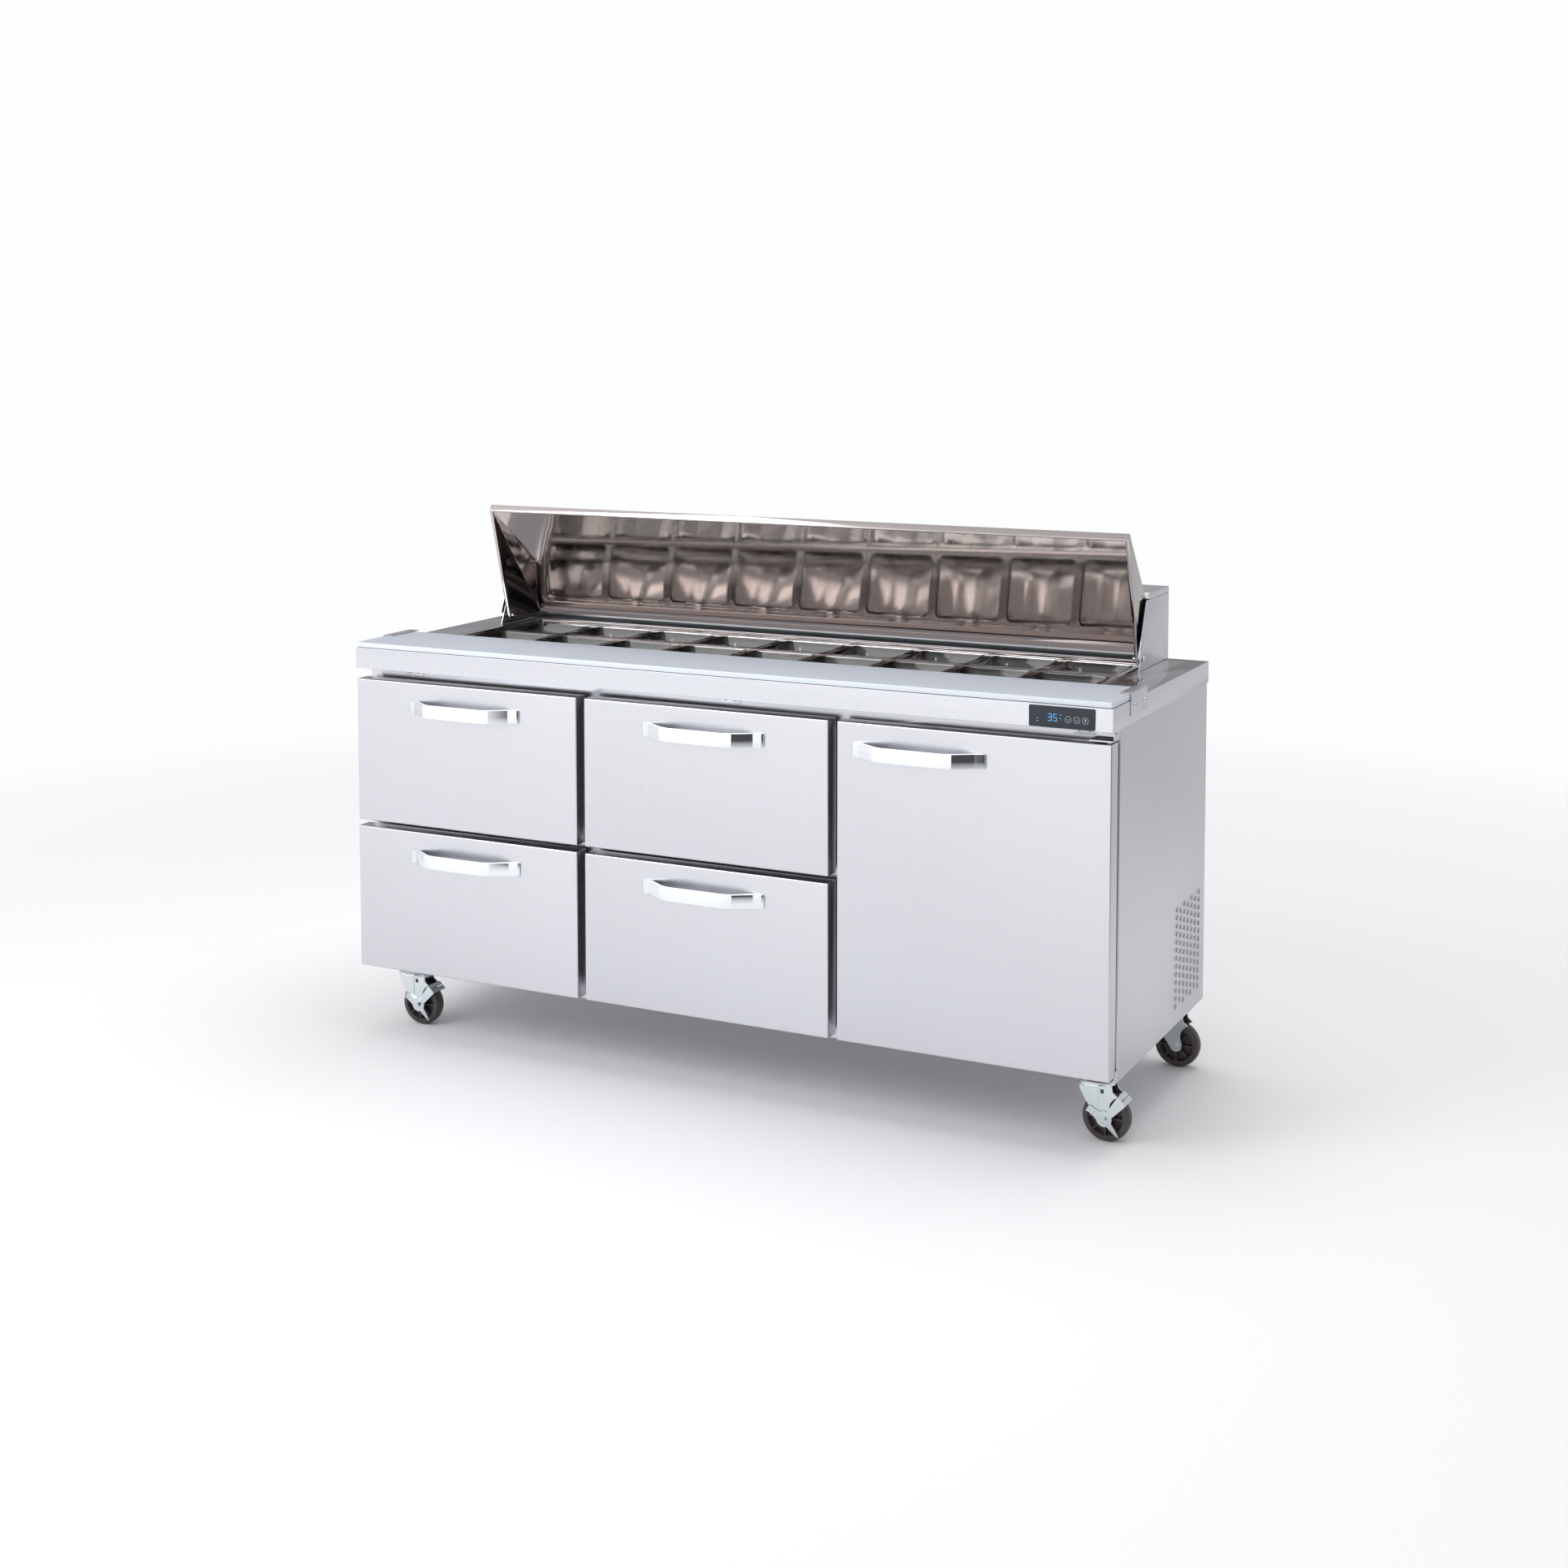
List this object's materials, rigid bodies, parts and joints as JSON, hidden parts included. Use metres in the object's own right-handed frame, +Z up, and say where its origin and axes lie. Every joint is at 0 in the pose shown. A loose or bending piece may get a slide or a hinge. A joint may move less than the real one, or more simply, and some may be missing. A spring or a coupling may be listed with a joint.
{
  "type": "sandwich prep table",
  "caption": "Refrigerated sandwich prep table on casters with a lidded pan rail, full-width cutting board, four drawers and a door.",
  "frame": {"origin": "on the floor, under the middle of the table's whole box, handles and brackets included", "axes": "+X to the right along the table, -Y out of the front with the drawers and door, +Z up"},
  "size_m": [1.8517, 0.7264, 1.2275],
  "materials": {
    "stainless": "fine horizontal brushing, satin",
    "polished_liner": "bright rolled, nearly mirror",
    "chrome": "polished plating",
    "gasket": "dull dark grey extrusion",
    "zinc": "bright zinc plating, slightly blue",
    "wheel_plastic": "moulded, dark brown-black",
    "board_plastic": "fine matt texture",
    "clear_plastic": "clear polycarbonate",
    "display_gloss": "smooth black lens",
    "galvanised": "dull zinc-coated sheet",
    "fin_aluminium": "thin bright fins",
    "compressor_paint": "black baked paint",
    "fan_plastic": "moulded black"
  },
  "bodies": {
    "table": {"cabinet_body": "stainless", "worktop": "stainless", "hood_body": "stainless", "hood_cap": "stainless", "board_bracket_left": "stainless", "board_bracket_right": "stainless", "well_liner": "polished_liner", "well_divider_bar": "polished_liner", "pans_front": "clear_plastic", "pans_rear": "clear_plastic", "drawer_rack_left": "polished_liner", "drawer_rack_middle": "polished_liner", "door_shelf": "chrome", "door_hinge_top": "zinc", "door_hinge_bottom": "zinc", "lid_pivot_left": "zinc", "lid_pivot_right": "zinc", "control_display": "display_gloss", "rear_grille": "galvanised", "condenser": "fin_aluminium", "evaporator": "fin_aluminium", "compressor": "compressor_paint", "front_left_caster_plate": "zinc", "front_right_caster_plate": "zinc", "rear_left_caster_plate": "zinc", "rear_right_caster_plate": "zinc"},
    "lid": {"lid": "polished_liner"},
    "cutting_board": {"cutting_board": "board_plastic"},
    "left_upper_drawer": {"left_upper_drawer_front": "stainless", "left_upper_drawer_tub": "polished_liner", "left_upper_drawer_handle": "chrome", "left_upper_drawer_gasket": "gasket"},
    "left_lower_drawer": {"left_lower_drawer_front": "stainless", "left_lower_drawer_tub": "polished_liner", "left_lower_drawer_handle": "chrome", "left_lower_drawer_gasket": "gasket"},
    "middle_upper_drawer": {"middle_upper_drawer_front": "stainless", "middle_upper_drawer_tub": "polished_liner", "middle_upper_drawer_handle": "chrome", "middle_upper_drawer_gasket": "gasket"},
    "middle_lower_drawer": {"middle_lower_drawer_front": "stainless", "middle_lower_drawer_tub": "polished_liner", "middle_lower_drawer_handle": "chrome", "middle_lower_drawer_gasket": "gasket"},
    "door": {"door_panel": "stainless", "door_handle": "chrome", "door_gasket": "gasket"},
    "front_left_caster": {"front_left_caster_fork": "zinc"},
    "front_left_caster_wheel": {"front_left_caster_wheel": "wheel_plastic"},
    "front_left_caster_brake": {"front_left_caster_brake_lever": "zinc"},
    "front_right_caster": {"front_right_caster_fork": "zinc"},
    "front_right_caster_wheel": {"front_right_caster_wheel": "wheel_plastic"},
    "front_right_caster_brake": {"front_right_caster_brake_lever": "zinc"},
    "rear_left_caster": {"rear_left_caster_fork": "zinc"},
    "rear_left_caster_wheel": {"rear_left_caster_wheel": "wheel_plastic"},
    "rear_right_caster": {"rear_right_caster_fork": "zinc"},
    "rear_right_caster_wheel": {"rear_right_caster_wheel": "wheel_plastic"},
    "condenser_fan": {"condenser_fan": "fan_plastic"},
    "evaporator_fan": {"evaporator_fan": "fan_plastic"}
  },
  "joints": [
    {"name": "lid_hinge", "type": "hinge", "parent": "table", "child": "lid", "pos_m": [0, 0.171, 0.944], "axis": [1, 0, 0], "range_deg": [0, 75.6]},
    {"name": "board_slide", "type": "slide", "parent": "table", "child": "cutting_board", "axis": [0, -1, 0], "range_m": [0, 0.11]},
    {"name": "left_upper_drawer_slide", "type": "slide", "parent": "table", "child": "left_upper_drawer", "axis": [0, -1, 0], "range_m": [0, 0.46]},
    {"name": "left_lower_drawer_slide", "type": "slide", "parent": "table", "child": "left_lower_drawer", "axis": [0, -1, 0], "range_m": [0, 0.46]},
    {"name": "middle_upper_drawer_slide", "type": "slide", "parent": "table", "child": "middle_upper_drawer", "axis": [0, -1, 0], "range_m": [0, 0.46]},
    {"name": "middle_lower_drawer_slide", "type": "slide", "parent": "table", "child": "middle_lower_drawer", "axis": [0, -1, 0], "range_m": [0, 0.46]},
    {"name": "door_hinge", "type": "hinge", "parent": "table", "child": "door", "pos_m": [0.908, -0.301, 0.165], "axis": [0, 0, 1], "range_deg": [0, 105]},
    {"name": "front_left_caster_swivel", "type": "hinge", "parent": "table", "child": "front_left_caster", "pos_m": [-0.8545, -0.193, 0.132], "axis": [0, 0, 1], "continuous": true},
    {"name": "front_left_caster_spin", "type": "hinge", "parent": "front_left_caster", "child": "front_left_caster_wheel", "pos_m": [-0.8325, -0.193, 0.0508], "axis": [0, 1, 0], "continuous": true},
    {"name": "front_left_caster_brake", "type": "hinge", "parent": "front_left_caster", "child": "front_left_caster_brake", "pos_m": [-0.8325, -0.193, 0.0508], "axis": [0, -1, 0], "range_deg": [0, 20]},
    {"name": "front_right_caster_swivel", "type": "hinge", "parent": "table", "child": "front_right_caster", "pos_m": [0.8545, -0.193, 0.132], "axis": [0, 0, 1], "continuous": true},
    {"name": "front_right_caster_spin", "type": "hinge", "parent": "front_right_caster", "child": "front_right_caster_wheel", "pos_m": [0.8765, -0.193, 0.0508], "axis": [0, 1, 0], "continuous": true},
    {"name": "front_right_caster_brake", "type": "hinge", "parent": "front_right_caster", "child": "front_right_caster_brake", "pos_m": [0.8765, -0.193, 0.0508], "axis": [0, -1, 0], "range_deg": [0, 20]},
    {"name": "rear_left_caster_swivel", "type": "hinge", "parent": "table", "child": "rear_left_caster", "pos_m": [-0.8545, 0.316, 0.132], "axis": [0, 0, 1], "continuous": true},
    {"name": "rear_left_caster_spin", "type": "hinge", "parent": "rear_left_caster", "child": "rear_left_caster_wheel", "pos_m": [-0.8325, 0.316, 0.0508], "axis": [0, 1, 0], "continuous": true},
    {"name": "rear_right_caster_swivel", "type": "hinge", "parent": "table", "child": "rear_right_caster", "pos_m": [0.8545, 0.316, 0.132], "axis": [0, 0, 1], "continuous": true},
    {"name": "rear_right_caster_spin", "type": "hinge", "parent": "rear_right_caster", "child": "rear_right_caster_wheel", "pos_m": [0.8765, 0.316, 0.0508], "axis": [0, 1, 0], "continuous": true},
    {"name": "condenser_fan_spin", "type": "hinge", "parent": "table", "child": "condenser_fan", "pos_m": [0.8, 0.24975, 0.2629], "axis": [1, 0, 0], "continuous": true},
    {"name": "evaporator_fan_spin", "type": "hinge", "parent": "table", "child": "evaporator_fan", "pos_m": [0.62, 0.217, 0.63], "axis": [0, 1, 0], "continuous": true}
  ]
}
